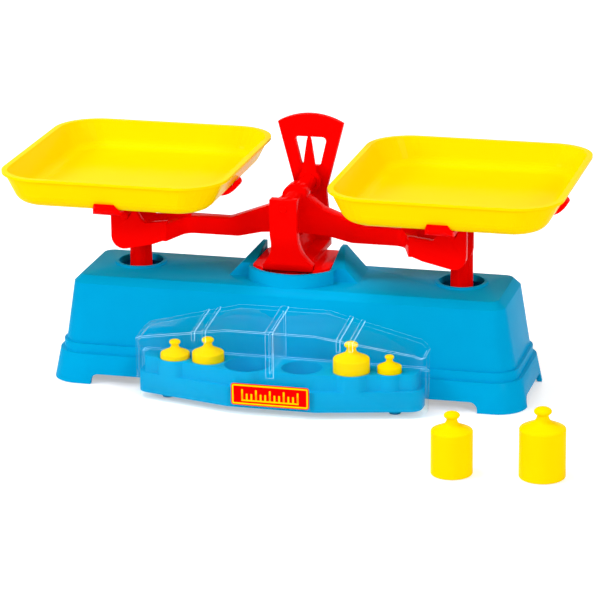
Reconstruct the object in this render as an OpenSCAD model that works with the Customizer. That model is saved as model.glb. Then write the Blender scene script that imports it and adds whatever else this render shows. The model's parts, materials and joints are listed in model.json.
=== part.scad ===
// Toy pan balance: a blue base with a red tower and beam, two yellow pans
// on guided posts, a clear case and six knobbed weights.
// Millimetres. X runs along the beam, Y to the back, Z up. Each form is drawn
// with zero on the floor below the tower's axle, in line with the pan posts,
// and placed with zero in the middle of the whole set's footprint.

/* [Drawing] */
// Sub-part to draw, or all of them

/* [Balance] */
// Distance from the tower's axle to each pan post
arm_span = 85.5; // [83:0.5:100]
// Height of the axle above the base top
tower_rise = 42.6; // [41:0.2:50]
// How far the posts' pins lie below the axle
pin_drop = 10.5; // [9.5:0.1:12]
// Depth of the stay's pivot below the base top
stay_drop = 20.9; // [18:0.1:22]

/* [Base] */
// Length of the base beyond each pan post
base_end_margin = 39.5; // [36:0.5:60]
// Depth of the base on the floor
base_depth = 70.4; // [68:0.2:90]
// Height of the base's flat top
base_height = 55.4; // [54:0.2:70]
// Height of the leaning skirt
skirt_height = 15.3; // [12:0.1:16]
// Height of the ledge above the skirt
ledge_height = 20.1; // [18:0.1:24]
// Wall thickness of the base
base_wall = 2.2; // [1.8:0.1:2.6]
// Radius of the holes that the posts run in
post_hole_radius = 11.6; // [11:0.1:13]
// Height of the arches along the foot
arch_height = 5.3; // [3:0.1:6]

/* [Tower] */
// Width of the front cheek
cheek_width = 14; // [12:0.2:18]
// Thickness of the front cheek
cheek_thickness = 5.5; // [4:0.1:6]
// Height of the cheek's top above the axle
cheek_rise = 4.5; // [4:0.1:8]
// Radius of the dial's top arc about the axle
dial_radius = 35; // [33:0.5:40]
// Half angle of the dial's spread
dial_spread = 14.6; // [12:0.1:18]
// Thickness of the dial plate
dial_thickness = 3.5; // [2.4:0.1:4]

/* [Beam] */
// Thickness of the arm bar
beam_thickness = 8; // [6:0.2:9]
// Depth of the arm bar seen from the front
arm_depth = 8.7; // [7:0.1:11]
// Thickness of the forward end plates
end_plate_thickness = 4; // [3:0.1:5]
// Depth of the end plate's cup below the pin
cup_depth = 17.7; // [15:0.1:18.5]
// Lean of the notch's sides
notch_lean = 35; // [25:1:45]
// Radius of the axle
axle_radius = 2.2; // [1.8:0.1:2.6]
// Length of the needle above the axle
needle_length = 26; // [22:0.5:31]

/* [Pans] */
// Length of a pan's rim along the beam
pan_length = 118.8; // [110:0.2:122]
// Width of a pan's rim from front to back
pan_width = 127; // [118:0.2:140]
// Height of a pan
pan_height = 16; // [14:0.5:24]
// Wall thickness of a pan
pan_wall = 1.8; // [1.2:0.1:2.4]
// Radius between a pan's floor and its wall
pan_edge_radius = 8; // [6:0.2:9]
// Height of a pan's rim above the posts' pins
pan_rise = 27; // [26:0.5:36]
// Radius of a pan post at the top
post_radius = 5.65; // [5.2:0.05:5.8]
// Width of the cradle's arms
cradle_width = 14.4; // [10:0.2:18]
// Thickness of the cradle's arms and fingers
cradle_thickness = 2.5; // [2:0.1:3]

/* [Weights and case] */
// Diameter of the largest weight
weight_diameter = 22.5; // [20:0.1:22.5]
// Height of the largest weight
weight_height = 35.1; // [32:0.1:36]
// Length of the case
case_length = 151; // [149:0.5:158]
// Depth of the case from front to back
case_depth = 31.7; // [31.6:0.1:38]
// Height of the case at the back of its flat roof
case_height = 48.2; // [48:0.1:56]
// Wall thickness of the clear cover
cover_wall = 1.4; // [1:0.1:1.5]
// Height of the tray's deck
deck_height = 22.3; // [22:0.1:24]

/* [Clearances] */
// Radial clearance of a pin that turns
running_gap = 0.08; // [0.03:0.01:0.1]
// Gap between pieces that lift off
seat_gap = 0.3; // [0.2:0.05:0.6]

/* [Hidden] */

$fn = 64;
loft_fn = 32;
arc_steps = 6;
half_turn = 180;
quarter_turn = half_turn / 2;
overrun = 1;
skin = 0.1;

blue = [0.0, 0.62, 0.88];
yellow = [1.0, 0.87, 0.0];
red = [0.93, 0.03, 0.02];
clear = [0.8, 0.9, 0.95, 0.35];

// Heights that follow from the balance
axle_height = base_height + tower_rise;
pin_height = axle_height - pin_drop;
stay_height = base_height - stay_drop;
stay_end_height = stay_height - pin_drop;
pan_floor = pin_height + pan_rise - pan_height;
cradle_top = pan_floor - seat_gap;

// Base: half sizes and corner radii at each level
base_y = -6;
base_half = arm_span + base_end_margin;
skirt_lean = 2.6;
ledge_step = 2.1;
wall_step = 1.4;
wall_lean_long = 5.4;
wall_lean_short = 1.8;
top_bevel = 3.7;
top_plate = 2.4;
foot_corner = 15;
ledge_corner = 12.5;
wall_corner = ledge_corner - wall_step;
brow_corner = 8;
top_corner = 5;
rim_width = 2;
rim_height = 1;
wall_sink_share = 0.75;
foot_length = 23;
arch_length = 2 * (base_half - foot_length);
arch_corner = 4;
end_arch_width = 40;
ledge_half = [base_half - skirt_lean - ledge_step, base_depth / 2 - skirt_lean - ledge_step];
wall_half = ledge_half - [wall_step, wall_step];
brow_half = wall_half - [wall_lean_long, wall_lean_short];
top_half = brow_half - [top_bevel, top_bevel];
base_front = base_y - base_depth / 2;
base_top_back = base_y + top_half[1];

// Socket on the base that holds the tower's foot
collar_radius = 27;
collar_y = -3;
collar_half = 22.4;
collar_back = 17.5;
collar_height = 7;
collar_wall = 2.2;
lug_reach = 34;
lug_rise = 12.6;
lug_front_rise = 7.1;
lug_front = -13;
lug_knee = 6;
lug_back = 12;

// Tower
foot_fit = 0.2;
foot_shoulder = -12;
foot_height = 8.2;
saddle_rise = 10.6;
saddle_low = base_height + collar_height + seat_gap;
saddle_top = base_height + saddle_rise;
saddle_back_half = 10;
cheek_back = -27;
cheek_foot_half = 13;
flare_drop = 14;
flare_reach = cheek_foot_half - cheek_width / 2;
flare_radius = (flare_reach * flare_reach + flare_drop * flare_drop) / (2 * flare_reach);
dial_front = 16.5;
dial_foot_rise = 14.6;
waist_half = 8;
waist_drop = 6;
dial_top_half = 17.4;
window_top = 23;
window_bottom = 7.5;
window_top_half = 8.8;
window_bottom_half = 5.1;
window_corner = 2;
web_thickness = 5;
web_gap = 1.4;
tail_half = 11;
tail_front = -11;
tail_back = 15;
tail_depth = 12;
tail_wall = 2.4;
barb_reach = 1.5;
barb_height = 4;
barb_width = 10;
bracket_half = 6;
bracket_thickness = 3.5;
stay_side_gap = 0.5;
stay_pin_radius = 2;
axle_front = cheek_back - cheek_thickness - seat_gap;

// Beam
beam_back = -1;
beam_front = beam_back - beam_thickness;
arm_low_drop = 12.2;
arm_low = pin_height - arm_low_drop;
arm_high = arm_low + arm_depth;
arm_end_reach = 24;
arm_end = arm_span - arm_end_reach;
hub_radius = 4;
boss_radius = 6.5;
end_play = 0.3;
axle_dome = 0.9;
shoulder_reach = 35.7;
crown_reach = 14.3;
crown_drop = 6;
knee_reach = 17.8;
knee_rise = 2.85;
belly_reach = 30;
belly_rise = 3.7;
belly_half = 8;
plate_setback = 0.5;
plate_front = cheek_back + plate_setback;
plate_back = plate_front + end_plate_thickness;
prong_gap = 0.55;
prong_back = -post_radius - prong_gap;
plate_inner_reach = 22;
plate_outer_reach = 7.5;
web_jog = 6.1;
jog_thickness = 4;
jog_fillet = 6.5;
notch_fit = running_gap;
pivot_radius = 2;
plate_low_rise = 6.3;
plate_knee_reach = 15;
plate_knee_rise = 3.6;
plate_knee_radius = 3;
plate_shelf_drop = 3.5;
plate_top_drop = 2;
cup_belly = 1.6;
cup_radius = 6.5;
ear_rise = 3.4;
ear_inner_reach = 5.6;
ear_foot_reach = 9.5;
ear_radius = 1;
needle_front = 12.5;
needle_thickness = 2.5;
needle_ring_radius = 6;
needle_width = 8.8;
needle_taper_shares = [1, 0.64, 0.28, 0];
needle_reach_shares = [0, 0.42, 0.83, 1];

// Pans: half sizes of the rim and of the wall where it leaves the floor's arc
rim_half = [pan_length / 2, pan_width / 2];
pan_lean_long = 6.1;
pan_lean_short = 3;
pan_foot_half = rim_half - [pan_lean_long, pan_lean_short];
pan_rim_corner = 23;
pan_foot_corner = 18.8;
lip_reach = 1.1;
lip_height = 1.4;
finger_angle = 25;
rib_thickness = 1.6;
rib_depth = 2.4;
post_draft = 0.25;
post_foot_radius = post_radius + post_draft;
post_foot_drop = 6;
post_foot = stay_end_height - post_foot_drop;
post_bore = 3.6;
post_crown = 6;

// Stay
stay_front = 6.5;
stay_thickness = 4;
stay_half = 3.5;
stay_boss = 4.5;
stay_hub = 5.5;
stay_end_pin = 1.95;

// Case: the tray's wells follow the weights that they hold
case_gap = 0.6;
case_shift = 2.3;
case_nest = 3.4;
case_flat_half = 23;
case_side_fall = 13.1;
case_roof_drop = 3.5;
case_end_width = 4;
case_end_drop = 3.5;
case_corner = 8;
case_back_corner = 3;
case_front_corner = 5;
case_rib_height = 0.6;
case_rib_reach = 34.7;
case_rib_pitch = 6.1;
case_rib_width = 1.8;
case_rib_hang = 4;
case_band_width = 3.9;
case_band_low = 20.8;
partition_thickness = 1;
case_half = case_length / 2;
case_side_angle = atan(case_side_fall / (case_half - case_flat_half));
case_end_angle = atan(case_end_drop / case_end_width);
nest_back = base_front - case_gap;
case_back = nest_back + case_nest;
case_front = case_back - case_depth;
nest_height = ledge_height + case_gap;
roof_slope = atan(case_roof_drop / case_depth);
case_rib_low = case_height - case_roof_drop - case_rib_hang
    - (case_rib_reach + case_rib_pitch - case_flat_half) * tan(case_side_angle);
tray_wall = 1.6;
tray_inset = cover_wall + seat_gap;
tray_back = nest_back - tray_inset;
tray_low = 3.6;
tray_step = 14;
tray_step_back = 2.6;
tray_foot_radius = 3;
well_wall = 0.9;
cup_wall = 1.2;
seat_height = 8;
label_half = 20.2;
label_low = 5.6;
label_rise = 11.4;
label_thickness = 0.25;
label_corner = 2;

// Weights, each a share of the largest
weight_width_shares = [1, 0.902, 0.822, 0.724, 0.667, 0.547];
weight_height_shares = [1, 0.892, 0.842, 0.744, 0.667, 0.561];
well_place_shares = [-0.203, 0.168, 0.505, -0.489, -0.723, 0.755];
well_rise_shares = [1, 1, 1, 1, 1, 1.4];
body_share = 0.7;
neck_share = 0.25;
neck_low_share = 0.812;
knob_share = 0.385;
knob_middle_share = 0.937;
knob_half_share = 0.063;
weight_edge_share = 0.06;
shoulder_share = 0.1;
flare_share = 0.35;
first_floor_place = [150.2, -121.8];
second_floor_place = [107.3, -127];

// Middle of the set's footprint, which is the part's origin
set_left = -arm_span - pan_length / 2;
set_right = first_floor_place[0] + weight_diameter / 2;
set_front = second_floor_place[1] - weight_diameter * weight_width_shares[1] / 2;
set_centre = [(set_left + set_right) / 2, (set_front + pan_width / 2) / 2, 0];

// Outlines with rounded corners
function unit_vector(v) = v / norm(v);
function turned(v, angle) =
    [v[0] * cos(angle) - v[1] * sin(angle), v[0] * sin(angle) + v[1] * cos(angle)];
function corner_arc(before, corner, after, radius) =
    radius == 0 ? [corner] :
    let (
        back = unit_vector(before - corner),
        ahead = unit_vector(after - corner),
        half = acos(back * ahead) / 2,
        centre = corner + unit_vector(back + ahead) * radius / sin(half),
        start = corner + back * radius / tan(half) - centre,
        way = sign(ahead[0] * back[1] - ahead[1] * back[0])
    )
    [for (i = [0 : arc_steps]) centre + turned(start, way * (half_turn - 2 * half) * i / arc_steps)];
function rounded_path(corners, radii) = [
    for (i = [0 : len(corners) - 1])
        each corner_arc(
            corners[(i + len(corners) - 1) % len(corners)],
            corners[i],
            corners[(i + 1) % len(corners)],
            radii[i])
];
function mirrored(half) =
    concat(half, [for (i = [len(half) - 1 : -1 : 0]) [-half[i][0], half[i][1]]]);
function doubled(half) = concat(half, [for (i = [len(half) - 1 : -1 : 0]) half[i]]);

// Rounded rectangle given by its half sizes and corner radius
module rounded_slab(half, radius, height) {
    linear_extrude(height = height)
        union() {
            square([2 * half[0], 2 * (half[1] - radius)], center = true);
            square([2 * (half[0] - radius), 2 * half[1]], center = true);
            for (sx = [-1, 1])
                for (sy = [-1, 1])
                    translate([sx * (half[0] - radius), sy * (half[1] - radius)])
                        circle(r = radius);
        }
}

// One rounded layer of a loft
module loft_layer(half, radius, z) {
    for (sx = [-1, 1])
        for (sy = [-1, 1])
            translate([sx * (half[0] - radius), sy * (half[1] - radius), z])
                cylinder(h = skin, r = radius, $fn = loft_fn);
}

// Move from the axle's foot to the middle of the set's footprint
module placed() {
    translate(-set_centre)
        children();
}

// Profile drawn in X and Z, given depth from one Y to another
module cheeked(from_y, to_y) {
    translate([0, to_y, 0])
        rotate([90, 0, 0])
            linear_extrude(height = to_y - from_y)
                children();
}

// Round bar along Y
module bar_along_y(radius, from_y, to_y) {
    translate([0, to_y, 0])
        rotate([90, 0, 0])
            cylinder(h = to_y - from_y, r = radius);
}

module base_housing() {
    color(blue) placed()
        difference() {
            union() {
                translate([0, base_y, 0])
                    base_block();
                for (side = [-1, 1])
                    translate([side * arm_span, 0, base_height - top_plate])
                        cylinder(h = top_plate + rim_height, r = post_hole_radius + rim_width);
                tower_socket();
            }
            translate([0, base_y, 0])
                base_hollow();
            for (side = [-1, 1])
                translate([side * arm_span, 0, base_height - top_plate - overrun])
                    cylinder(h = top_plate + rim_height + 2 * overrun, r = post_hole_radius);
            tail_opening();
            foot_arches();
        }
}

// Leaning skirt, ledge and drawn-in wall with its bevelled brow
module base_block() {
    hull() {
        loft_layer([base_half, base_depth / 2], foot_corner, 0);
        loft_layer([base_half - skirt_lean, base_depth / 2 - skirt_lean], foot_corner, skirt_height - skin);
    }
    hull() {
        loft_layer(ledge_half, ledge_corner, skirt_height / 2);
        loft_layer(ledge_half, ledge_corner, ledge_height - skin);
    }
    hull() {
        loft_layer(wall_half, wall_corner, skirt_height * wall_sink_share);
        loft_layer(wall_half, wall_corner, ledge_height);
        loft_layer(brow_half, brow_corner, base_height - top_bevel);
        loft_layer(top_half, top_corner, base_height - skin);
    }
}

module base_hollow() {
    inset = [base_wall, base_wall];
    hull() {
        loft_layer([base_half, base_depth / 2] - inset, foot_corner - base_wall, -overrun);
        loft_layer(wall_half - inset, wall_corner - base_wall, ledge_height - base_wall);
    }
    hull() {
        loft_layer(wall_half - inset, wall_corner - base_wall, skirt_height / 2);
        loft_layer(wall_half - inset, wall_corner - base_wall, ledge_height);
        loft_layer(brow_half - inset, brow_corner - base_wall, base_height - top_plate - skin);
    }
}

// Collar round the tower's foot with a sloping lug at each side
module tower_socket() {
    translate([0, 0, base_height - top_plate])
        linear_extrude(height = top_plate + collar_height)
            difference() {
                collar_outline(0);
                collar_outline(collar_wall);
            }
    for (side = [0, 1])
        mirror([side, 0, 0])
            intersection() {
                cheeked(lug_front, lug_back)
                    polygon([
                        [collar_half - collar_wall, base_height - top_plate],
                        [lug_reach, base_height - top_plate],
                        [lug_reach, base_height],
                        [collar_half, base_height + lug_rise],
                        [collar_half - collar_wall, base_height + lug_rise]]);
                rotate([90, 0, 90])
                    linear_extrude(height = lug_reach)
                        polygon([
                            [lug_front, base_height - top_plate],
                            [lug_back, base_height - top_plate],
                            [lug_back, base_height + lug_rise],
                            [lug_knee, base_height + lug_rise],
                            [lug_front, base_height + lug_front_rise]]);
            }
}

module collar_outline(inset) {
    intersection() {
        translate([0, collar_y])
            circle(r = collar_radius - inset);
        translate([inset - collar_half, collar_y - collar_radius])
            square([2 * (collar_half - inset), collar_back - inset - collar_y + collar_radius]);
    }
}

module tail_opening() {
    translate([-tail_half - seat_gap, tail_front - seat_gap, base_height - top_plate - overrun])
        cube([
            2 * (tail_half + seat_gap),
            tail_back - tail_front + 2 * seat_gap,
            top_plate + 2 * overrun]);
}

// Long arches at front and back, short ones in the end faces
module foot_arches() {
    cheeked(base_front - overrun, base_y + base_depth / 2 + overrun)
        arch_outline(arch_length / 2);
    translate([0, base_y, 0])
        rotate([0, 0, 90])
            cheeked(-base_half - overrun, base_half + overrun)
                arch_outline(end_arch_width / 2);
}

module arch_outline(half) {
    polygon(rounded_path(
        mirrored([[half, -overrun], [half, arch_height]]),
        doubled([0, arch_corner])));
}

module tower() {
    color(red) placed()
        difference() {
            union() {
                tower_foot();
                tower_cheek();
                tower_dial();
                translate([-web_thickness / 2, cheek_back - skin, saddle_low])
                    cube([
                        web_thickness,
                        dial_front - cheek_back + 2 * skin,
                        arm_low + belly_rise - web_gap - saddle_low]);
                tower_tail();
            }
            translate([0, 0, axle_height])
                bar_along_y(axle_radius + running_gap, axle_front, dial_front + dial_thickness + overrun);
            translate([0, 0, stay_height])
                bar_along_y(stay_pin_radius, -tail_back, 2 * tail_back);
        }
}

// Foot plate that fills the socket, and the saddle that bridges its rim
module tower_foot() {
    translate([0, 0, base_height])
        linear_extrude(height = foot_height)
            collar_outline(collar_wall + foot_fit);
    translate([0, 0, saddle_low])
        linear_extrude(height = saddle_top - saddle_low)
            polygon(rounded_path(
                mirrored([
                    [cheek_foot_half, cheek_back - cheek_thickness],
                    [cheek_foot_half, cheek_back + cheek_thickness],
                    [saddle_back_half, foot_shoulder],
                    [saddle_back_half, dial_front + dial_thickness]]),
                doubled([0, base_wall, base_wall, 0])));
}

// Front cheek that flares down to the saddle
module tower_cheek() {
    half = cheek_width / 2;
    flare_height = saddle_top + flare_drop;
    cheeked(cheek_back - cheek_thickness, cheek_back)
        union() {
            translate([-half, saddle_low])
                square([cheek_width, axle_height + cheek_rise - saddle_low]);
            difference() {
                translate([-cheek_foot_half, saddle_top - foot_fit])
                    square([2 * cheek_foot_half, flare_drop + foot_fit]);
                for (side = [-1, 1])
                    translate([side * (half + flare_radius), flare_height])
                        circle(r = flare_radius, $fn = 4 * loft_fn);
            }
        }
}

// Back plate that widens into the dial, with its window
module tower_dial() {
    apex = axle_height + dial_radius * cos(asin(dial_top_half / dial_radius)) - dial_top_half / tan(dial_spread);
    cheeked(dial_front, dial_front + dial_thickness)
        difference() {
            union() {
                polygon(rounded_path(
                    mirrored([
                        [saddle_back_half, saddle_low],
                        [saddle_back_half, base_height + dial_foot_rise],
                        [waist_half, axle_height - waist_drop],
                        [axle_height * tan(dial_spread) - apex * tan(dial_spread), axle_height]]),
                    doubled([0, waist_half, waist_half, 0])));
                intersection() {
                    translate([0, axle_height])
                        circle(r = dial_radius, $fn = 4 * loft_fn);
                    polygon(mirrored([
                        [(axle_height - skin - apex) * tan(dial_spread), axle_height - skin],
                        [(axle_height + dial_radius - apex) * tan(dial_spread), axle_height + dial_radius]]));
                }
            }
            polygon(rounded_path(
                mirrored([
                    [window_bottom_half, axle_height + window_bottom],
                    [window_top_half, axle_height + window_top]]),
                doubled([window_corner, window_corner])));
        }
}

// Hollow tail that snaps under the base top and carries the stay's pivot
module tower_tail() {
    tail_low = base_height - tail_depth;
    difference() {
        translate([-tail_half, tail_front, tail_low])
            cube([2 * tail_half, tail_back - tail_front, tail_depth + tail_wall]);
        translate([-tail_half + tail_wall, tail_front + tail_wall, tail_low - overrun])
            cube([
                2 * (tail_half - tail_wall),
                tail_back - tail_front - 2 * tail_wall,
                tail_depth + overrun]);
    }
    barb_top = base_height - top_plate - running_gap;
    for (side = [0, 1])
        translate([0, (tail_front + tail_back) / 2, 0])
            mirror([0, side, 0])
                translate([-barb_width / 2, (tail_back - tail_front) / 2, 0])
                    rotate([90, 0, 90])
                        linear_extrude(height = barb_width)
                            polygon([
                                [-tail_wall / 2, barb_top],
                                [barb_reach, barb_top],
                                [0, barb_top - barb_height],
                                [-tail_wall / 2, barb_top - barb_height]]);
    for (y = [stay_front - stay_side_gap - bracket_thickness, stay_front + stay_thickness + stay_side_gap])
        cheeked(y, y + bracket_thickness)
            union() {
                translate([0, stay_height])
                    circle(r = bracket_half);
                translate([-bracket_half, stay_height])
                    square([2 * bracket_half, base_height + tail_wall / 2 - stay_height]);
            }
}

module stay_pin() {
    color(red) placed()
        translate([0, 0, stay_height])
            bar_along_y(
                stay_pin_radius,
                stay_front - stay_side_gap - bracket_thickness,
                stay_front + stay_thickness + stay_side_gap + bracket_thickness);
}

module beam() {
    color(red) placed()
        difference() {
            union() {
                beam_bar();
                translate([0, 0, axle_height])
                    bar_along_y(hub_radius, cheek_back + end_play, dial_front - end_play);
                for (side = [0, 1])
                    mirror([side, 0, 0]) {
                        beam_jog();
                        cheeked(plate_front, plate_back)
                            cup_outline(plate_inner_reach);
                        cheeked(beam_front, prong_back)
                            cup_outline(arm_span - arm_end + web_jog);
                    }
            }
            translate([0, 0, axle_height])
                bar_along_y(axle_radius, cheek_back - overrun, dial_front + overrun);
        }
}

// Arm bar that rises to the hub in the middle
module beam_bar() {
    cheeked(beam_front, beam_back)
        union() {
            polygon(rounded_path(
                mirrored([
                    [belly_half, arm_low + belly_rise],
                    [knee_reach, arm_low + knee_rise],
                    [belly_reach, arm_low],
                    [arm_end, arm_low],
                    [arm_end, arm_high],
                    [shoulder_reach, arm_high],
                    [crown_reach, axle_height - crown_drop],
                    [boss_radius, axle_height]]),
                doubled([0, hub_radius, 2 * hub_radius, 0, 0, 2 * hub_radius, hub_radius, 0])));
            translate([0, axle_height])
                circle(r = boss_radius);
        }
}

// Web that carries the arm forward to the end plate
module beam_jog() {
    plate_inner = arm_span - plate_inner_reach;
    translate([0, 0, arm_low])
        linear_extrude(height = arm_depth)
            polygon(rounded_path(
                [
                    [arm_end - 3 * jog_thickness, beam_front],
                    [plate_inner - web_jog, beam_front],
                    [plate_inner, plate_front],
                    [plate_inner + 2 * jog_thickness, plate_front],
                    [plate_inner + jog_thickness, plate_back],
                    [plate_inner + jog_thickness - web_jog, beam_back],
                    [arm_end - 3 * jog_thickness, beam_back]],
                [0, jog_fillet, 0, 0, jog_thickness / 4, jog_thickness / 2, 0]));
}

// Cup with two ears and the notch that carries a post's pin
module cup_outline(inner_reach) {
    translate([arm_span, pin_height])
        difference() {
            polygon(rounded_path(
                [
                    [-inner_reach, plate_low_rise - cup_depth],
                    [-plate_knee_reach, plate_knee_rise - cup_depth],
                    [plate_outer_reach, -cup_depth - cup_belly],
                    [plate_outer_reach, ear_rise],
                    [-ear_inner_reach, ear_rise],
                    [-ear_foot_reach, -plate_shelf_drop],
                    [-inner_reach, -plate_top_drop]],
                [0, plate_knee_radius, cup_radius, ear_radius, ear_radius, plate_knee_radius, 0]));
            notch_cut();
        }
}

module notch_cut() {
    radius = pivot_radius + notch_fit;
    reach = 2 * cup_depth;
    union() {
        circle(r = radius);
        polygon(mirrored([
            [radius * cos(notch_lean), -radius * sin(notch_lean)],
            [radius * cos(notch_lean) + reach * sin(notch_lean), reach * cos(notch_lean)]]));
    }
}

// Axle pressed into the hub, with a domed front end
module beam_axle() {
    color(red) placed()
        translate([0, 0, axle_height])
            union() {
                bar_along_y(axle_radius, axle_front, dial_front + dial_thickness);
                translate([0, axle_front, 0])
                    rotate([90, 0, 0])
                        rotate_extrude()
                            polygon(concat(
                                [[0, -axle_radius]],
                                [for (i = [0 : arc_steps])
                                    [
                                        axle_radius * cos(quarter_turn * i / arc_steps),
                                        axle_dome * sin(quarter_turn * i / arc_steps)]],
                                [[axle_radius / 2, -axle_radius]]));
            }
}

module needle() {
    color(red) placed()
        cheeked(needle_front, needle_front + needle_thickness)
            difference() {
                union() {
                    translate([0, axle_height])
                        circle(r = needle_ring_radius);
                    polygon(mirrored([
                        for (i = [0 : len(needle_reach_shares) - 1])
                            [
                                needle_width / 2 * needle_taper_shares[i],
                                axle_height + needle_length * needle_reach_shares[i]]]));
                }
                translate([0, axle_height])
                    circle(r = hub_radius);
            }
}

// Stay that keeps the posts upright, with a moulded pin at each end
module stay_bar() {
    color(red) placed()
        difference() {
            union() {
                cheeked(stay_front, stay_front + stay_thickness)
                    union() {
                        polygon([
                            [-arm_span, stay_end_height - stay_half],
                            [0, stay_height - stay_half],
                            [arm_span, stay_end_height - stay_half],
                            [arm_span, stay_end_height + stay_half],
                            [0, stay_height + stay_half],
                            [-arm_span, stay_end_height + stay_half]]);
                        translate([0, stay_height])
                            circle(r = stay_hub);
                        for (side = [-1, 1])
                            translate([side * arm_span, stay_end_height])
                                circle(r = stay_boss);
                    }
                for (side = [-1, 1])
                    translate([side * arm_span, 0, stay_end_height])
                        bar_along_y(stay_end_pin, -post_radius, stay_front + skin);
            }
            translate([0, 0, stay_height])
                bar_along_y(stay_pin_radius + running_gap, 0, 2 * stay_front + stay_thickness);
        }
}

module left_carrier() {
    color(red) placed()
        translate([-arm_span, 0, 0])
            carrier();
}

module right_carrier() {
    color(red) placed()
        translate([arm_span, 0, 0])
            carrier();
}

// Post with the cross-shaped cradle that a pan sits in
module carrier() {
    pin_back = post_radius - rib_thickness;
    difference() {
        union() {
            translate([0, 0, post_foot])
                cylinder(
                    h = cradle_top - cradle_thickness / 2 - post_foot,
                    r1 = post_foot_radius,
                    r2 = post_radius);
            cradle_arm(pan_foot_half[0] - pan_edge_radius);
            rotate([0, 0, 90])
                cradle_arm(pan_foot_half[1] - pan_edge_radius);
        }
        translate([0, 0, post_foot - overrun])
            cylinder(h = pin_height - post_crown - post_foot + overrun, r = post_bore);
        translate([0, 0, stay_end_height])
            bar_along_y(stay_end_pin + running_gap, -2 * post_radius, 2 * post_radius);
        translate([0, 0, pin_height])
            bar_along_y(pivot_radius, -2 * post_radius, pin_back);
    }
}

// Flat arm with a rib below and fingers that turn up round the pan's edge
module cradle_arm(flat_half) {
    inner = pan_edge_radius + seat_gap;
    outer = inner + cradle_thickness;
    tip = flat_half + outer * cos(finger_angle) - cradle_width / 2;
    intersection() {
        cheeked(-cradle_width / 2, cradle_width / 2)
            union() {
                translate([-flat_half - skin, cradle_top - cradle_thickness])
                    square([2 * (flat_half + skin), cradle_thickness]);
                for (side = [0, 1])
                    mirror([side, 0])
                        translate([flat_half, cradle_top + inner])
                            intersection() {
                                difference() {
                                    circle(r = outer);
                                    circle(r = inner);
                                }
                                polygon([
                                    [0, 0],
                                    [0, -2 * outer],
                                    [2 * outer, -2 * outer],
                                    [2 * outer, -2 * outer * tan(finger_angle)]]);
                            }
            }
        translate([0, 0, cradle_top - 2 * cradle_thickness])
            linear_extrude(height = 2 * pan_height)
                union() {
                    square([2 * tip, cradle_width], center = true);
                    for (side = [-1, 1])
                        translate([side * tip, 0])
                            circle(d = cradle_width);
                }
    }
    cheeked(-rib_thickness / 2, rib_thickness / 2)
        polygon([
            [-flat_half, cradle_top - cradle_thickness / 2],
            [-flat_half, cradle_top - cradle_thickness],
            [-flat_half / 2, cradle_top - cradle_thickness - rib_depth],
            [flat_half / 2, cradle_top - cradle_thickness - rib_depth],
            [flat_half, cradle_top - cradle_thickness],
            [flat_half, cradle_top - cradle_thickness / 2]]);
}

module left_pivot_pin() {
    color(red) placed()
        translate([-arm_span, 0, 0])
            pivot_pin();
}

module right_pivot_pin() {
    color(red) placed()
        translate([arm_span, 0, 0])
            pivot_pin();
}

// Pin pressed into a post, long enough to rest in both notches
module pivot_pin() {
    translate([0, 0, pin_height])
        union() {
            bar_along_y(pivot_radius, plate_front - pivot_radius / 2, post_radius - rib_thickness);
            translate([0, plate_front - pivot_radius, 0])
                rotate([-90, 0, 0])
                    cylinder(h = pivot_radius / 2, r1 = pivot_radius / 2, r2 = pivot_radius);
        }
}

module left_pan() {
    color(yellow) placed()
        translate([-arm_span, 0, pan_floor])
            pan();
}

module right_pan() {
    color(yellow) placed()
        translate([arm_span, 0, pan_floor])
            pan();
}

// Oblong tray with a rolled edge at the floor and a small lip
module pan() {
    difference() {
        union() {
            pan_form(0);
            translate([0, 0, pan_height - lip_height])
                rounded_slab(rim_half, pan_rim_corner, lip_height);
        }
        pan_form(pan_wall);
    }
}

// Space inside a given offset from the pan's outer face
module pan_form(inset) {
    arc = pan_edge_radius - inset;
    centre = pan_foot_half - [pan_edge_radius, pan_edge_radius];
    corner = pan_foot_corner - pan_edge_radius;
    rim_inset = lip_reach + inset;
    hull() {
        for (angle = [0 : 15 : 75])
            loft_layer(
                centre + [arc * sin(angle), arc * sin(angle)],
                corner + arc * sin(angle),
                pan_edge_radius - arc * cos(angle));
        loft_layer(
            rim_half - [rim_inset, rim_inset],
            pan_rim_corner - rim_inset,
            inset > 0 ? pan_height : pan_height - lip_height / 2);
    }
}

// Outline of the case at a given inset from its outer face
function case_outline(inset, back) =
    let (
        half = case_half - inset,
        front = case_front + inset,
        flat = case_flat_half - inset * tan(case_side_angle / 2),
        side = case_front + inset / cos(case_side_angle)
            + (half - case_flat_half) * tan(case_side_angle)
    )
    rounded_path(
        mirrored([[flat, front], [half, side], [half, back]]),
        doubled([case_front_corner, case_corner - inset, max(case_back_corner - inset, 0)]));

// Solid form of the case: outline, nesting step and roof that falls to bevelled ends
module case_form(inset, low) {
    knee = case_half - case_end_width;
    knee_fall = (knee - case_flat_half) * tan(case_side_angle);
    far = case_half + case_depth;
    far_fall = knee_fall + (far - knee) * tan(case_end_angle) + inset / cos(case_end_angle);
    intersection() {
        translate([0, 0, low])
            linear_extrude(height = 2 * case_height - low)
                polygon(case_outline(inset, case_back - inset));
        translate([0, case_back, case_height])
            rotate([roof_slope, 0, 0])
                translate([0, case_depth, 0])
                    rotate([90, 0, 0])
                        linear_extrude(height = 3 * case_depth)
                            polygon(mirrored([
                                [far, -far_fall - 2 * case_height],
                                [far, -far_fall],
                                [
                                    knee - inset * tan((case_side_angle + case_end_angle) / 2),
                                    -knee_fall - inset / cos(case_side_angle)
                                        + inset * tan((case_side_angle + case_end_angle) / 2)
                                            * tan(case_side_angle)],
                                [case_flat_half - inset * tan(case_side_angle / 2), -inset]]));
    }
}

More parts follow.
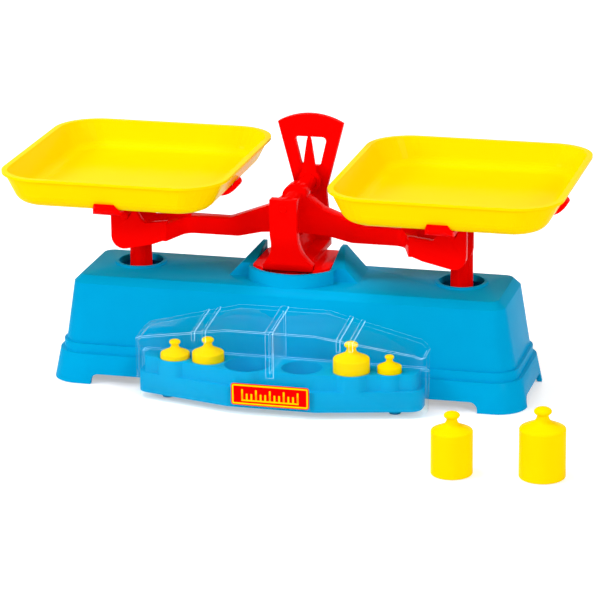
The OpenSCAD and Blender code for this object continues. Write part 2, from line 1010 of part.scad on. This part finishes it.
module case_cover() {
    color(clear) placed()
        translate([case_shift, 0, 0])
            union() {
                difference() {
                    union() {
                        case_form(0, 0);
                        cover_ribs();
                    }
                    nest_step(0);
                    difference() {
                        case_form(cover_wall, -overrun);
                        nest_step(cover_wall);
                    }
                }
                cover_partition();
            }
}

// Thin wall across the middle, between the two empty wells
module cover_partition() {
    intersection() {
        case_form(cover_wall / 2, 0);
        translate([-partition_thickness / 2, case_front, deck_height + case_gap])
            cube([partition_thickness, case_depth, case_height]);
    }
}

// Step at the back, where the case reaches over the base's skirt
module nest_step(inset) {
    translate([-case_length, nest_back - inset, -2 * overrun])
        cube([2 * case_length, case_depth, nest_height + inset + 2 * overrun]);
}

// Two thin ribs over each end of the roof, and a band down the middle of the front
module cover_ribs() {
    intersection() {
        case_form(-case_rib_height, 0);
        union() {
            for (side = [-1, 1])
                for (place = [0, 1])
                    rib_slab(
                        side * (case_rib_reach + place * case_rib_pitch),
                        case_rib_width,
                        case_rib_low);
            rib_slab(0, case_band_width, case_band_low);
        }
    }
}

module rib_slab(middle, width, low) {
    translate([middle - width / 2, case_front - overrun, low])
        cube([width, case_depth + overrun, 2 * case_height]);
}

module case_label() {
    color(red) placed()
        translate([case_shift, case_front, label_low + label_rise / 2])
            rotate([90, 0, 0])
                rounded_slab([label_half, label_rise / 2], label_corner, label_thickness);
}

// Moulded tray with a raised deck, a cup for each weight and small feet
module case_tray() {
    color(blue) placed()
        translate([case_shift, 0, 0])
            difference() {
                union() {
                    difference() {
                        union() {
                            tray_block(0, 0, tray_low, tray_step);
                            tray_block(tray_step_back, 0, tray_low, deck_height);
                        }
                        tray_block(0, tray_wall, tray_low - overrun, tray_step - tray_wall);
                        tray_block(tray_step_back, tray_wall, tray_low - overrun, deck_height - tray_wall);
                    }
                    intersection() {
                        tray_block(0, 0, tray_low - tray_wall, deck_height);
                        union()
                            for (i = [0 : len(weight_width_shares) - 1])
                                translate([well_x(i), well_y(i), well_floor(i) - cup_wall])
                                    cylinder(
                                        h = deck_height - well_floor(i) + cup_wall,
                                        r = well_radius(i) + cup_wall);
                    }
                    for (x = [-1, 1])
                        for (place = [0, 1])
                            translate([
                                x * (case_half - 2 * case_corner - place * case_flat_half),
                                tray_back - 2 * tray_foot_radius,
                                0])
                                cylinder(h = tray_step, r = tray_foot_radius);
                }
                for (i = [0 : len(weight_width_shares) - 1])
                    translate([well_x(i), well_y(i), well_floor(i)])
                        cylinder(h = case_height, r = well_radius(i));
            }
}

// Block of the tray's outline, stepped in at the sides and front, less a wall
module tray_block(step, wall, low, high) {
    translate([0, 0, low])
        linear_extrude(height = high - low)
            polygon(case_outline(tray_inset + step + wall, tray_back - wall));
}

function weight_radius(i) = weight_diameter * weight_width_shares[i] / 2;
function well_radius(i) = weight_radius(i) + seat_gap;
function well_x(i) = case_half * well_place_shares[i];
function well_y(i) = tray_back - well_wall - well_radius(i);
function well_floor(i) = seat_height * well_rise_shares[i];

module weight_1() {
    standing_weight(0);
}

module weight_2() {
    standing_weight(1);
}

module weight_3() {
    standing_weight(2);
}

module weight_4() {
    standing_weight(3);
}

module weight_5() {
    standing_weight(4);
}

module weight_6() {
    standing_weight(5);
}

// The two largest stand on the floor, the others in their wells
module standing_weight(i) {
    place = i == 0 ? concat(first_floor_place, 0)
        : i == 1 ? concat(second_floor_place, 0)
        : [case_shift + well_x(i), well_y(i), well_floor(i) + seat_gap];
    color(yellow) placed()
        translate(place)
            weight_form(weight_radius(i), weight_height * weight_height_shares[i]);
}

// Turned weight: straight body, sloping shoulder, flared neck and knob
module weight_form(radius, height) {
    knob_start = -acos(neck_share / knob_share);
    body = rounded_path(
        [
            [0, 0],
            [radius, 0],
            [radius, height * body_share],
            [radius * neck_share, height * neck_low_share],
            [radius * neck_share, height * (knob_middle_share + knob_half_share * sin(knob_start))]],
        [0, radius * weight_edge_share, radius * shoulder_share, radius * flare_share, 0]);
    knob = [
        for (i = [1 : 2 * arc_steps - 1])
            let (angle = knob_start + (quarter_turn - knob_start) * i / (2 * arc_steps))
            [
                radius * knob_share * cos(angle),
                height * (knob_middle_share + knob_half_share * sin(angle))]];
    rotate_extrude()
        polygon(concat(
            body,
            knob,
            [[0, height * (knob_middle_share + knob_half_share)]]));
}

base_housing();
tower();
stay_pin();
beam();
beam_axle();
needle();
stay_bar();
left_carrier();
right_carrier();
left_pivot_pin();
right_pivot_pin();
left_pan();
right_pan();
case_tray();
case_cover();
case_label();
weight_1();
weight_2();
weight_3();
weight_4();
weight_5();
weight_6();
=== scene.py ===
# %% [markdown]
# # Toy pan balance
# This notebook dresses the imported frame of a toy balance: a blue moulded base, a red tower and beam,
# two yellow pans, and a clear case that holds the weights. The frame gives every place and size, so each
# piece here is modelled in metres straight where it belongs.

# %% Load the frame
import json
import math

import bpy
from mathutils import Matrix, Vector


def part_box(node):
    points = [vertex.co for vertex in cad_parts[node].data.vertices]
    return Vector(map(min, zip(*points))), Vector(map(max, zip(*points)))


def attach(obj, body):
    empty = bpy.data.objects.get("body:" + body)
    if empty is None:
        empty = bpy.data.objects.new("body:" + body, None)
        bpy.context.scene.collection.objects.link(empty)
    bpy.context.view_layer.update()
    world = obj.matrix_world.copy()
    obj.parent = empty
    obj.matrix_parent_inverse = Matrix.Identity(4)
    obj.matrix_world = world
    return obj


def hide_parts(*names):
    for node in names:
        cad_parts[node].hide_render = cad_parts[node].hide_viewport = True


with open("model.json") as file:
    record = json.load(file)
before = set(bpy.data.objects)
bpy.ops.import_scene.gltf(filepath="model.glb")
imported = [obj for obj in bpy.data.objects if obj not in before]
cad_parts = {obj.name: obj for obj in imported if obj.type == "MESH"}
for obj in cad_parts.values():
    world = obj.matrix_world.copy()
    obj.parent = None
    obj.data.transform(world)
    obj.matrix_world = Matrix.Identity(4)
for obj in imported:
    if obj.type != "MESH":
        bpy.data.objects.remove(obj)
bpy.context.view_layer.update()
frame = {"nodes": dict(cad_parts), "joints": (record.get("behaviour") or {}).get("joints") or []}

MM = 0.001
axle = next(Vector(j["pos_m"]) for j in frame["joints"] if j["name"] == "beam_tilt")
print("the beam's axle in mm:", [round(1000 * v, 1) for v in axle])

# %% [markdown]
# ## Camera
# The photograph was taken with a long lens from the front right and a little above. The viewing angles are
# written as degrees of turn, fall and roll about a point straight below the beam's axle, because angles are
# easier to check against the picture than a matrix. A focal length in pixels over a picture 600 wide
# becomes a lens on Blender's 36 mm sensor.

# %% Place the camera
turn, fall, roll = math.radians(14.71), math.radians(17.59), math.radians(-0.63)
aim_height = 40 * MM
distance = 1682.3 * MM
focal_pixels = 3246.1
picture_pixels = 600
sensor_mm = 36
far_limit = 20

aim = Vector((axle.x, axle.y, aim_height))
look = Vector((-math.sin(turn) * math.cos(fall), math.cos(turn) * math.cos(fall), -math.sin(fall)))
right = Vector((math.cos(turn), math.sin(turn), 0))
up = right.cross(look)
right, up = (
    math.cos(roll) * right + math.sin(roll) * up,
    -math.sin(roll) * right + math.cos(roll) * up,
)

camera_data = bpy.data.cameras.new("camera")
camera_data.sensor_width = sensor_mm
camera_data.lens = focal_pixels * sensor_mm / picture_pixels
camera_data.clip_end = far_limit
camera = bpy.data.objects.new("camera", camera_data)
bpy.context.scene.collection.objects.link(camera)
facing = Matrix((right, up, -look)).transposed().to_4x4()
camera.matrix_world = Matrix.Translation(aim - distance * look) @ facing
bpy.context.scene.camera = camera
print("lens in mm:", round(camera_data.lens, 1))

# %% [markdown]
# ## Colour and node helpers
# Colours are written as sRGB hex values, and Blender's shaders want them linear, so one function does the
# turning. A second one adds any shader node with its settings and links, which keeps the material cells
# short. It takes a socket by its name, or by n and its number where two sockets share a name.

# %% Two helpers for materials
def linear(hex_colour):
    channels = [int(hex_colour[i:i + 2], 16) / 255 for i in (0, 2, 4)]
    return [c / 12.92 if c <= 0.04045 else ((c + 0.055) / 1.055) ** 2.4 for c in channels] + [1]


def add_node(material, kind, settings=None, **inputs):
    node = material.node_tree.nodes.new(kind)
    for name, value in (settings or {}).items():
        setattr(node, name, value)
    for name, value in inputs.items():
        numbered = name[0] == "n" and name[1:].isdigit()
        socket = node.inputs[int(name[1:]) if numbered else name.replace("_", " ")]
        if isinstance(value, bpy.types.NodeSocket):
            material.node_tree.links.new(value, socket)
        else:
            socket.default_value = value
    return node


print("linear value of a mid grey:", [round(c, 3) for c in linear("808080")])

# %% [markdown]
# ## Moulded plastics
# Injection-moulded toys are made of evenly coloured polystyrene or polypropylene. The surface copies a
# polished mould, so only a slight waviness a few millimetres wide breaks it up. A faint mottle in the
# colour and a fine bump of that size give it. A little light also travels inside the plastic, which lifts
# the shadows with the plastic's own colour. Real polystyrene has an IOR near 1.6, but the photograph's soft
# light shows almost no white sheen on flat faces, so IOR and specular level are matched to that.

# %% Coloured plastic
wave_width, wave_depth, wave_strength = 4 * MM, 0.02 * MM, 0.6
mottle_width = 18 * MM
roughness_spread = 0.15
sheen_ior, sheen_level = 1.2, 0.03
glow_reach = 2 * MM
glow_by_colour = (1.0, 0.8, 0.6)


def moulded_plastic(name, colour, shade, roughness, glow):
    material = bpy.data.materials.new(name)
    material.use_nodes = True
    shader = material.node_tree.nodes["Principled BSDF"]
    spot = add_node(material, "ShaderNodeTexCoord").outputs["Object"]
    wave = add_node(material, "ShaderNodeTexNoise", Vector=spot, Scale=1 / wave_width, Detail=1.0)
    mottle = add_node(material, "ShaderNodeTexNoise", Vector=spot, Scale=1 / mottle_width, Detail=3.0)
    mix = add_node(
        material, "ShaderNodeMix", {"data_type": "RGBA"},
        Factor=mottle.outputs["Fac"], n6=linear(colour), n7=linear(shade))
    gloss = add_node(
        material, "ShaderNodeMapRange", Value=mottle.outputs["Fac"],
        To_Min=roughness * (1 - roughness_spread), To_Max=roughness * (1 + roughness_spread))
    bump = add_node(
        material, "ShaderNodeBump", Height=wave.outputs["Fac"],
        Distance=wave_depth, Strength=wave_strength)
    links = material.node_tree.links
    links.new(mix.outputs[2], shader.inputs["Base Color"])
    links.new(gloss.outputs["Result"], shader.inputs["Roughness"])
    links.new(bump.outputs["Normal"], shader.inputs["Normal"])
    shader.inputs["IOR"].default_value = sheen_ior
    shader.inputs["Specular IOR Level"].default_value = sheen_level
    shader.inputs["Subsurface Weight"].default_value = glow
    shader.inputs["Subsurface Radius"].default_value = glow_by_colour
    shader.inputs["Subsurface Scale"].default_value = glow_reach
    return material


red_polystyrene = moulded_plastic("red_moulded_polystyrene", "FC0201", "F80200", 0.16, 0.05)
blue_polypropylene = moulded_plastic("blue_moulded_polypropylene", "00A3D8", "009AD0", 0.24, 0.05)
yellow_polypropylene = moulded_plastic("yellow_moulded_polypropylene", "FFD700", "FFD200", 0.2, 0.1)
print("plastics:", red_polystyrene.name, blue_polypropylene.name, yellow_polypropylene.name)

# %% [markdown]
# ## Clear cover
# The case's cover is clear moulded polystyrene with thin walls. Through so thin a wall things are hardly
# moved, so the sheet could be real bending glass, but then the weights under it would sit in its dark
# shadow. Here each face lets the light straight through and turns a little milky only where the eye looks
# along the plastic. The outer faces also mirror a share that grows towards a grazing view, as Fresnel's law
# says. Rays from the lamps, and rays that a dull surface sent on, pass the cover as if it weren't there.

# %% Clear polystyrene
flow_width, flow_depth, flow_strength = 25 * MM, 0.02 * MM, 0.3
milk_from, most_milk = 0.8, 0.3
mirror_ior, mirror_roughness = 1.18, 0.04
clear_tint = linear("FAFFFF")

clear_polystyrene = bpy.data.materials.new("clear_moulded_polystyrene")
clear_polystyrene.use_nodes = True
clear_nodes = clear_polystyrene.node_tree.nodes
clear_nodes.remove(clear_nodes["Principled BSDF"])
spot = add_node(clear_polystyrene, "ShaderNodeTexCoord").outputs["Object"]
flow = add_node(clear_polystyrene, "ShaderNodeTexNoise", Vector=spot, Scale=1 / flow_width, Detail=1.0)
bump = add_node(
    clear_polystyrene, "ShaderNodeBump", Height=flow.outputs["Fac"],
    Distance=flow_depth, Strength=flow_strength)
see_through = add_node(clear_polystyrene, "ShaderNodeBsdfTransparent", Color=clear_tint)
unhindered = add_node(clear_polystyrene, "ShaderNodeBsdfTransparent", Color=linear("FFFFFF"))
milky = add_node(clear_polystyrene, "ShaderNodeBsdfDiffuse", Color=linear("E4F6FD"))
mirror = add_node(
    clear_polystyrene, "ShaderNodeBsdfGlossy",
    Roughness=mirror_roughness, Normal=bump.outputs["Normal"])
print("sheets of the clear wall: see-through, milky and mirror")

# %% Mix the clear wall by the angle of view
grazing = add_node(clear_polystyrene, "ShaderNodeLayerWeight", Blend=0.5)
milk = add_node(
    clear_polystyrene, "ShaderNodeMapRange", Value=grazing.outputs["Facing"],
    From_Min=milk_from, To_Min=0.0, To_Max=most_milk)
fresnel = add_node(clear_polystyrene, "ShaderNodeFresnel", IOR=mirror_ior, Normal=bump.outputs["Normal"])
side = add_node(clear_polystyrene, "ShaderNodeNewGeometry")
outside = add_node(
    clear_polystyrene, "ShaderNodeMath", {"operation": "SUBTRACT"},
    n0=1.0, n1=side.outputs["Backfacing"])
shine = add_node(
    clear_polystyrene, "ShaderNodeMath", {"operation": "MULTIPLY"},
    n0=fresnel.outputs["Fac"], n1=outside.outputs[0])
path = add_node(clear_polystyrene, "ShaderNodeLightPath")
soft_ray = add_node(
    clear_polystyrene, "ShaderNodeMath", {"operation": "MAXIMUM"},
    n0=path.outputs["Is Shadow Ray"], n1=path.outputs["Is Diffuse Ray"])
wall = add_node(
    clear_polystyrene, "ShaderNodeMixShader", n0=milk.outputs["Result"],
    n1=see_through.outputs["BSDF"], n2=milky.outputs["BSDF"])
sheet = add_node(
    clear_polystyrene, "ShaderNodeMixShader", n0=shine.outputs[0],
    n1=wall.outputs["Shader"], n2=mirror.outputs["BSDF"])
lit = add_node(
    clear_polystyrene, "ShaderNodeMixShader", n0=soft_ray.outputs[0],
    n1=sheet.outputs["Shader"], n2=unhindered.outputs["BSDF"])
surface = clear_nodes["Material Output"].inputs["Surface"]
clear_polystyrene.node_tree.links.new(lit.outputs["Shader"], surface)
print("clear wall:", clear_polystyrene.name)

# %% [markdown]
# ## Bright edges of the clear cover
# Light that enters a clear sheet travels along inside it and comes out at the edges, so every rim and fold
# of such a cover shows as a pale line. The bevels of the cover's mesh get a material of their own for it,
# which paints that light on as a pale line: mostly a pale milky white with a blue tinge, lit from in front
# and from behind, with a weak painted glow, an emission that stands in for the light piped in from the rest
# of the sheet.

# %% Pale edge of clear polystyrene
cloud_width = 9 * MM
thinnest, thickest = 0.65, 1.0
# the edge colour is a painted pale line: light that leaves the clear sheet at its rims
edge_colour = linear("DDF3FA")
painted_glow_strength = 0.55

clear_edge = bpy.data.materials.new("clear_polystyrene_edge")
clear_edge.use_nodes = True
edge_nodes = clear_edge.node_tree.nodes
edge_nodes.remove(edge_nodes["Principled BSDF"])
spot = add_node(clear_edge, "ShaderNodeTexCoord").outputs["Object"]
cloud = add_node(clear_edge, "ShaderNodeTexNoise", Vector=spot, Scale=1 / cloud_width, Detail=1.0)
density = add_node(
    clear_edge, "ShaderNodeMapRange", Value=cloud.outputs["Fac"],
    From_Min=0.3, From_Max=0.7, To_Min=thinnest, To_Max=thickest)
front_light = add_node(clear_edge, "ShaderNodeBsdfDiffuse", Color=edge_colour)
back_light = add_node(clear_edge, "ShaderNodeBsdfTranslucent", Color=edge_colour)
pale = add_node(
    clear_edge, "ShaderNodeAddShader", n0=front_light.outputs["BSDF"], n1=back_light.outputs["BSDF"])
# painted glow: an emission on the cover's edges that stands in for light piped along the sheet
painted_glow = add_node(clear_edge, "ShaderNodeEmission", Color=linear("B4F4FF"), Strength=painted_glow_strength)
glowing = add_node(
    clear_edge, "ShaderNodeAddShader", n0=pale.outputs["Shader"], n1=painted_glow.outputs["Emission"])
through = add_node(clear_edge, "ShaderNodeBsdfTransparent", Color=clear_tint)
rim = add_node(
    clear_edge, "ShaderNodeMixShader", n0=density.outputs["Result"],
    n1=through.outputs["BSDF"], n2=glowing.outputs["Shader"])
surface = edge_nodes["Material Output"].inputs["Surface"]
clear_edge.node_tree.links.new(rim.outputs["Shader"], surface)
print("edge of the clear wall:", clear_edge.name)

# %% [markdown]
# ## Soft edges on the hard parts
# A mould's edges are never sharp: some half a millimetre of rounding catches the light on every rim. The
# frame's solids have the exact shapes, so the careful parts, such as the tower, the beam and the base, are
# made from copies of them. Each copy's triangles are merged, flat regions are dissolved, and a small bevel
# is applied along the sharp edges.

# %% Helpers that select a piece and open it for editing
def pick(piece):
    bpy.ops.object.select_all(action="DESELECT")
    piece.select_set(True)
    bpy.context.view_layer.objects.active = piece


def start_edit(piece, mode):
    pick(piece)
    bpy.ops.object.mode_set(mode="EDIT")
    bpy.ops.mesh.select_mode(type=mode)
    bpy.ops.mesh.select_all(action="DESELECT")
    bpy.ops.object.mode_set(mode="OBJECT")


print("editing helpers are ready")

# %% A helper that softens a copy of a solid
merge_distance = 0.004 * MM
flat_angle = math.radians(0.8)
sharp_angle = math.radians(32)
bevel_segments = 2


def softened(node, width_mm, reshape=None, cuts=(), edge_slot=-1):
    solid = frame["nodes"][node]
    piece = solid.copy()
    piece.data = solid.data.copy()
    piece.name = piece.data.name = "soft_" + node
    piece.parent = None
    piece.matrix_world = Matrix.Identity(4)
    piece.data.materials.clear()
    for _ in range(edge_slot + 1):
        piece.data.materials.append(None)
    bpy.context.scene.collection.objects.link(piece)
    pick(piece)
    bpy.ops.object.mode_set(mode="EDIT")
    bpy.ops.mesh.select_all(action="SELECT")
    bpy.ops.mesh.remove_doubles(threshold=merge_distance)
    bpy.ops.mesh.dissolve_limited(angle_limit=flat_angle)
    for height in cuts:
        bpy.ops.mesh.select_all(action="SELECT")
        bpy.ops.mesh.bisect(plane_co=(0, 0, height), plane_no=(0, 0, 1))
    bpy.ops.object.mode_set(mode="OBJECT")
    if reshape:
        for vertex in piece.data.vertices:
            vertex.co += reshape(vertex.co)
    bevel = piece.modifiers.new("edge", "BEVEL")
    bevel.width = width_mm * MM
    bevel.segments = bevel_segments
    bevel.limit_method = "ANGLE"
    bevel.angle_limit = sharp_angle
    bevel.use_clamp_overlap = True
    bevel.material = edge_slot
    bpy.ops.object.modifier_apply(modifier="edge")
    bpy.ops.object.shade_smooth_by_angle(angle=sharp_angle)
    print(piece.name, len(piece.data.polygons), "faces")
    return piece


def dress(piece, material, body, slot, *nodes):
    if material:
        piece.data.materials.clear()
        piece.data.materials.append(material)
    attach(piece, body)
    if nodes:
        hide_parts(*nodes)


# %% [markdown]
# ## The tower as photographed
# On the real toy the dial stands a little further back than on the solid, so the hub, the axle and the
# pointer reach back with it, and the front cheek leans back below its knee. Both are small moves of points
# on the softened copies: points behind a plane move back together, and points of the cheek move back more
# the lower they lie. Cuts across the cheek at the knee and below give it points to bend at.

# %% Moves for the dial and the cheek
dial_setback = Vector((0, 8.5 * MM, 0))
saddle_height = 58 * MM
cheek_knee = 84 * MM
cheek_cut_step = 9 * MM
cheek_setback = 11.5 * MM
cheek_depth = 24 * MM
dial_start = 15.5 * MM
pointer_start = 10 * MM
hub_reach = 8 * MM


def tower_move(point):
    if point.z < saddle_height:
        return Vector()
    if point.y > axle.y + dial_start:
        return dial_setback
    if point.y < axle.y - cheek_depth and point.z < cheek_knee:
        lean = (cheek_knee - point.z) / (cheek_knee - saddle_height)
        return Vector((0, cheek_setback * lean, 0))
    return Vector()


def hub_move(point):
    at_hub = (point.xz - axle.xz).length < hub_reach
    return dial_setback if at_hub and point.y > axle.y + pointer_start else Vector()


def pointer_move(point):
    return dial_setback


print("the dial stands", round(dial_setback.y / MM, 1), "mm further back than on the solid")

# %% Soften the base, the tower and the moving red parts
moves = {
    "tower": (tower_move, [cheek_knee - step * cheek_cut_step for step in range(3)]),
    "beam": (hub_move, ()),
    "beam_axle": (hub_move, ()),
    "needle": (pointer_move, ()),
}
for node, width, material, body, slot in (
    ("base_housing", 0.7, blue_polypropylene, "base", "blue_shell"),
    ("tower", 0.6, red_polystyrene, "base", "red_plastic"),
    ("beam", 0.5, red_polystyrene, "beam", "red_plastic"),
    ("beam_axle", 0.2, red_polystyrene, "beam", "red_plastic"),
    ("needle", 0.3, red_polystyrene, "beam", "red_plastic"),
    ("left_carrier", 0.9, red_polystyrene, "left_carrier", "red_plastic"),
    ("right_carrier", 0.9, red_polystyrene, "right_carrier", "red_plastic"),
    ("stay_bar", 0.4, red_polystyrene, "stay", "red_plastic"),
    ("case_tray", 0.4, blue_polypropylene, "case", "blue_shell"),
):
    move, cuts = moves.get(node, (None, ()))
    dress(softened(node, width, reshape=move, cuts=cuts), material, body, slot, node)

# %% [markdown]
# ## The cover's own piece
# The cover is softened like the rest, but its bevels go to a second material slot. So the flat walls take
# the clear plastic and every rim and fold takes the pale edge.

# %% The clear cover with its pale edges
cover = softened("case_cover", 0.8, edge_slot=1)
cover.material_slots[0].material = clear_polystyrene
cover.material_slots[1].material = clear_edge
dress(cover, None, "case_cover", "clear_plastic", "case_cover")
print("edge faces on the cover:", sum(face.material_index for face in cover.data.polygons))

# %% [markdown]
# ## Sticker on the case
# The case's front carries a thin printed sticker, red with a yellow border. It's modelled as a plate from
# one cube at the frame's own size, whose four corners are bevelled round. Its front face is inset twice,
# which leaves a narrow red margin with the yellow border inside it. A row of bars stands on the plate, cut
# like the marks of a measuring scale.

# %% Helpers for a plate and for round corners
def solid_box(name, low, high):
    bpy.ops.object.select_all(action="DESELECT")
    bpy.ops.mesh.primitive_cube_add(size=1, location=(Vector(low) + Vector(high)) / 2)
    piece = bpy.context.active_object
    piece.name = piece.data.name = name
    piece.scale = Vector(high) - Vector(low)
    bpy.ops.object.transform_apply(location=True, rotation=True, scale=True)
    return piece


def round_corners(piece, radius, segments):
    start_edit(piece, "EDGE")
    for side in piece.data.edges:
        one, two = (piece.data.vertices[v].co for v in side.vertices)
        side.select = abs(one.y - two.y) > 0.05 * MM
    bpy.ops.object.mode_set(mode="EDIT")
    bpy.ops.mesh.bevel(offset=radius, segments=segments)
    bpy.ops.object.mode_set(mode="OBJECT")


label_low, label_high = (Vector(corner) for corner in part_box("case_label"))
print("label in mm:", [round((high - low) / MM, 1) for low, high in zip(label_low, label_high)])

# %% Sticker plate with an inset border
sticker_corner = 1.4 * MM
border_steps = ((0.5 * MM, 1), (0.8 * MM, 0))

sticker = solid_box("sticker", label_low, label_high)
sticker.data.materials.append(red_polystyrene)
sticker.data.materials.append(yellow_polypropylene)
round_corners(sticker, sticker_corner, 5)
start_edit(sticker, "FACE")
for face in sticker.data.polygons:
    face.select = face.normal.y < -0.9
bpy.ops.object.mode_set(mode="EDIT")
for step, colour_slot in border_steps:
    bpy.ops.mesh.inset(thickness=step)
    sticker.active_material_index = colour_slot
    bpy.ops.object.material_slot_assign()
bpy.ops.object.mode_set(mode="OBJECT")
print("sticker faces:", len(sticker.data.polygons))

# %% Marks of a scale on the sticker
mark_width, mark_pitch, mark_count = 0.9 * MM, 2.4 * MM, 13
mark_corner = 0.2 * MM
mark_relief = 0.12 * MM
mark_foot = 3 * MM
short_mark, long_mark, long_mark_step = 3.2 * MM, 5.4 * MM, 3
rule_height, rule_edge = 0.8 * MM, 0.03 * MM

mark_low = label_low.z + mark_foot
mark_front = label_low.y - mark_relief
row_left = (label_low.x + label_high.x - mark_pitch * (mark_count - 1) - mark_width) / 2
row_right = row_left + mark_pitch * (mark_count - 1) + mark_width


def mark_row(name, height, step):
    low = (row_left, mark_front, mark_low)
    mark = solid_box(name, low, (row_left + mark_width, label_low.y, mark_low + height))
    round_corners(mark, mark_corner, 2)
    row = mark.modifiers.new("row", "ARRAY")
    row.count = (mark_count - 1) // step + 1
    row.use_relative_offset = False
    row.use_constant_offset = True
    row.constant_offset_displace = (mark_pitch * step, 0, 0)
    bpy.ops.object.modifier_apply(modifier="row")
    return mark


marks = [mark_row("short_marks", short_mark, 1), mark_row("long_marks", long_mark, long_mark_step)]
rule_low = (row_left, mark_front, mark_low - rule_height)
rule = solid_box("rule_line", rule_low, (row_right, label_low.y, mark_low))
start_edit(rule, "EDGE")
bpy.ops.object.mode_set(mode="EDIT")
bpy.ops.mesh.select_all(action="SELECT")
bpy.ops.mesh.bevel(offset=rule_edge, segments=1)
bpy.ops.object.mode_set(mode="OBJECT")
dress(sticker, None, "case_cover", "label_film", "case_label")
for piece in marks + [rule]:
    dress(piece, yellow_polypropylene, "case_cover", "label_film")
print("marks:", [len(piece.data.polygons) for piece in marks])

# %% [markdown]
# ## Pins, weights and pans
# The pins and the turned weights are round all over, and the pans have their lips and rounded corners in
# the solids already. Nothing is gained by a bevel there, so they keep the frame's own meshes, which are
# left untouched, and get only their plastic.

# %% Pins, weights and pans keep the frame's own shapes
plastic_of = {node: red_polystyrene for node in ("stay_pin", "left_pivot_pin", "right_pivot_pin")}
plastic_of.update({"weight_%d" % index: yellow_polypropylene for index in range(1, 7)})
plastic_of.update({node: yellow_polypropylene for node in ("left_pan", "right_pan")})
for node, plastic in plastic_of.items():
    piece = frame["nodes"][node]
    piece.data.materials.clear()
    piece.data.materials.append(plastic)
print("dressed as they are:", len(plastic_of))

# %% [markdown]
# ## Floor and light
# The photograph is high-key: a white sweep, a broad soft light from above and weak shadows. The floor is a
# plain white plane. For rays from the camera, and for those that a gloss or a clear wall sends on, it gets
# a little emission, which brings the lit floor up to white while the shadows stay. The world does the same,
# so the white sweep goes on behind the floor's edge.

# %% A switch for rays that see the background
def seen_rays(material, most):
    path = add_node(material, "ShaderNodeLightPath")
    total = path.outputs["Is Camera Ray"]
    for kind in ("Is Glossy Ray", "Is Transmission Ray"):
        either = add_node(
            material, "ShaderNodeMath", {"operation": "MAXIMUM"}, n0=total, n1=path.outputs[kind])
        total = either.outputs[0]
    return add_node(material, "ShaderNodeMath", {"operation": "MULTIPLY"}, n0=total, n1=most).outputs[0]


print("the switch is ready")

# %% White floor
floor_size = 9
floor_centre = (0, 2, -0.2 * MM)
floor_glow = 0.42

bpy.ops.object.select_all(action="DESELECT")
bpy.ops.mesh.primitive_plane_add(size=floor_size, location=floor_centre)
floor = bpy.context.active_object
floor.name = "floor"
floor_white = bpy.data.materials.new("studio_white")
floor_white.use_nodes = True
shader = floor_white.node_tree.nodes["Principled BSDF"]
shader.inputs["Base Color"].default_value = (0.86, 0.87, 0.89, 1)
shader.inputs["Roughness"].default_value = 0.35
shader.inputs["Specular IOR Level"].default_value = 0.3
shader.inputs["Emission Color"].default_value = (1, 1, 1, 1)
floor_white.node_tree.links.new(seen_rays(floor_white, floor_glow), shader.inputs["Emission Strength"])
floor.data.materials.append(floor_white)
print("floor laid")

# %% White world
ambient = 0.55
white = (1, 1, 1, 1)

world = bpy.data.worlds.new("studio")
bpy.context.scene.world = world
world.use_nodes = True
background = world.node_tree.nodes["Background"]
background.inputs["Color"].default_value = white
strength = add_node(
    world, "ShaderNodeMath", {"operation": "ADD"}, n0=seen_rays(world, 1 - ambient), n1=ambient)
world.node_tree.links.new(strength.outputs[0], background.inputs["Strength"])
print("world strength for scattered light:", ambient)

# %% [markdown]
# ## Lamps
# Three square lamps stand around the toy: one above, which gives the short soft shadows, and one on each
# side in front, which fill the faces that look at the camera. A ray that looks through the cover can cross
# many clear faces before it reaches the toy, so Cycles is allowed more see-through steps than its usual
# eight, or the far side of the partition would turn black.

# %% Lamps and see-through steps
lamp_aim = Vector((0, 0, 50 * MM))
see_through_steps = 64


def soft_lamp(name, place, size, power):
    data = bpy.data.lights.new(name, "AREA")
    data.shape = "SQUARE"
    data.size = size
    data.energy = power
    lamp = bpy.data.objects.new(name, data)
    bpy.context.scene.collection.objects.link(lamp)
    lamp.location = place
    lamp.rotation_euler = (lamp_aim - Vector(place)).to_track_quat("-Z", "Y").to_euler()
    return lamp


soft_lamp("top_light", (-0.35, -0.2, 1.3), 0.5, 7.2)
soft_lamp("left_light", (-1.1, -0.8, 0.8), 0.4, 9.4)
soft_lamp("right_light", (1.0, -0.9, 0.7), 0.4, 7.8)
bpy.context.scene.view_settings.view_transform = "Standard"
bpy.context.scene.cycles.transparent_max_bounces = see_through_steps
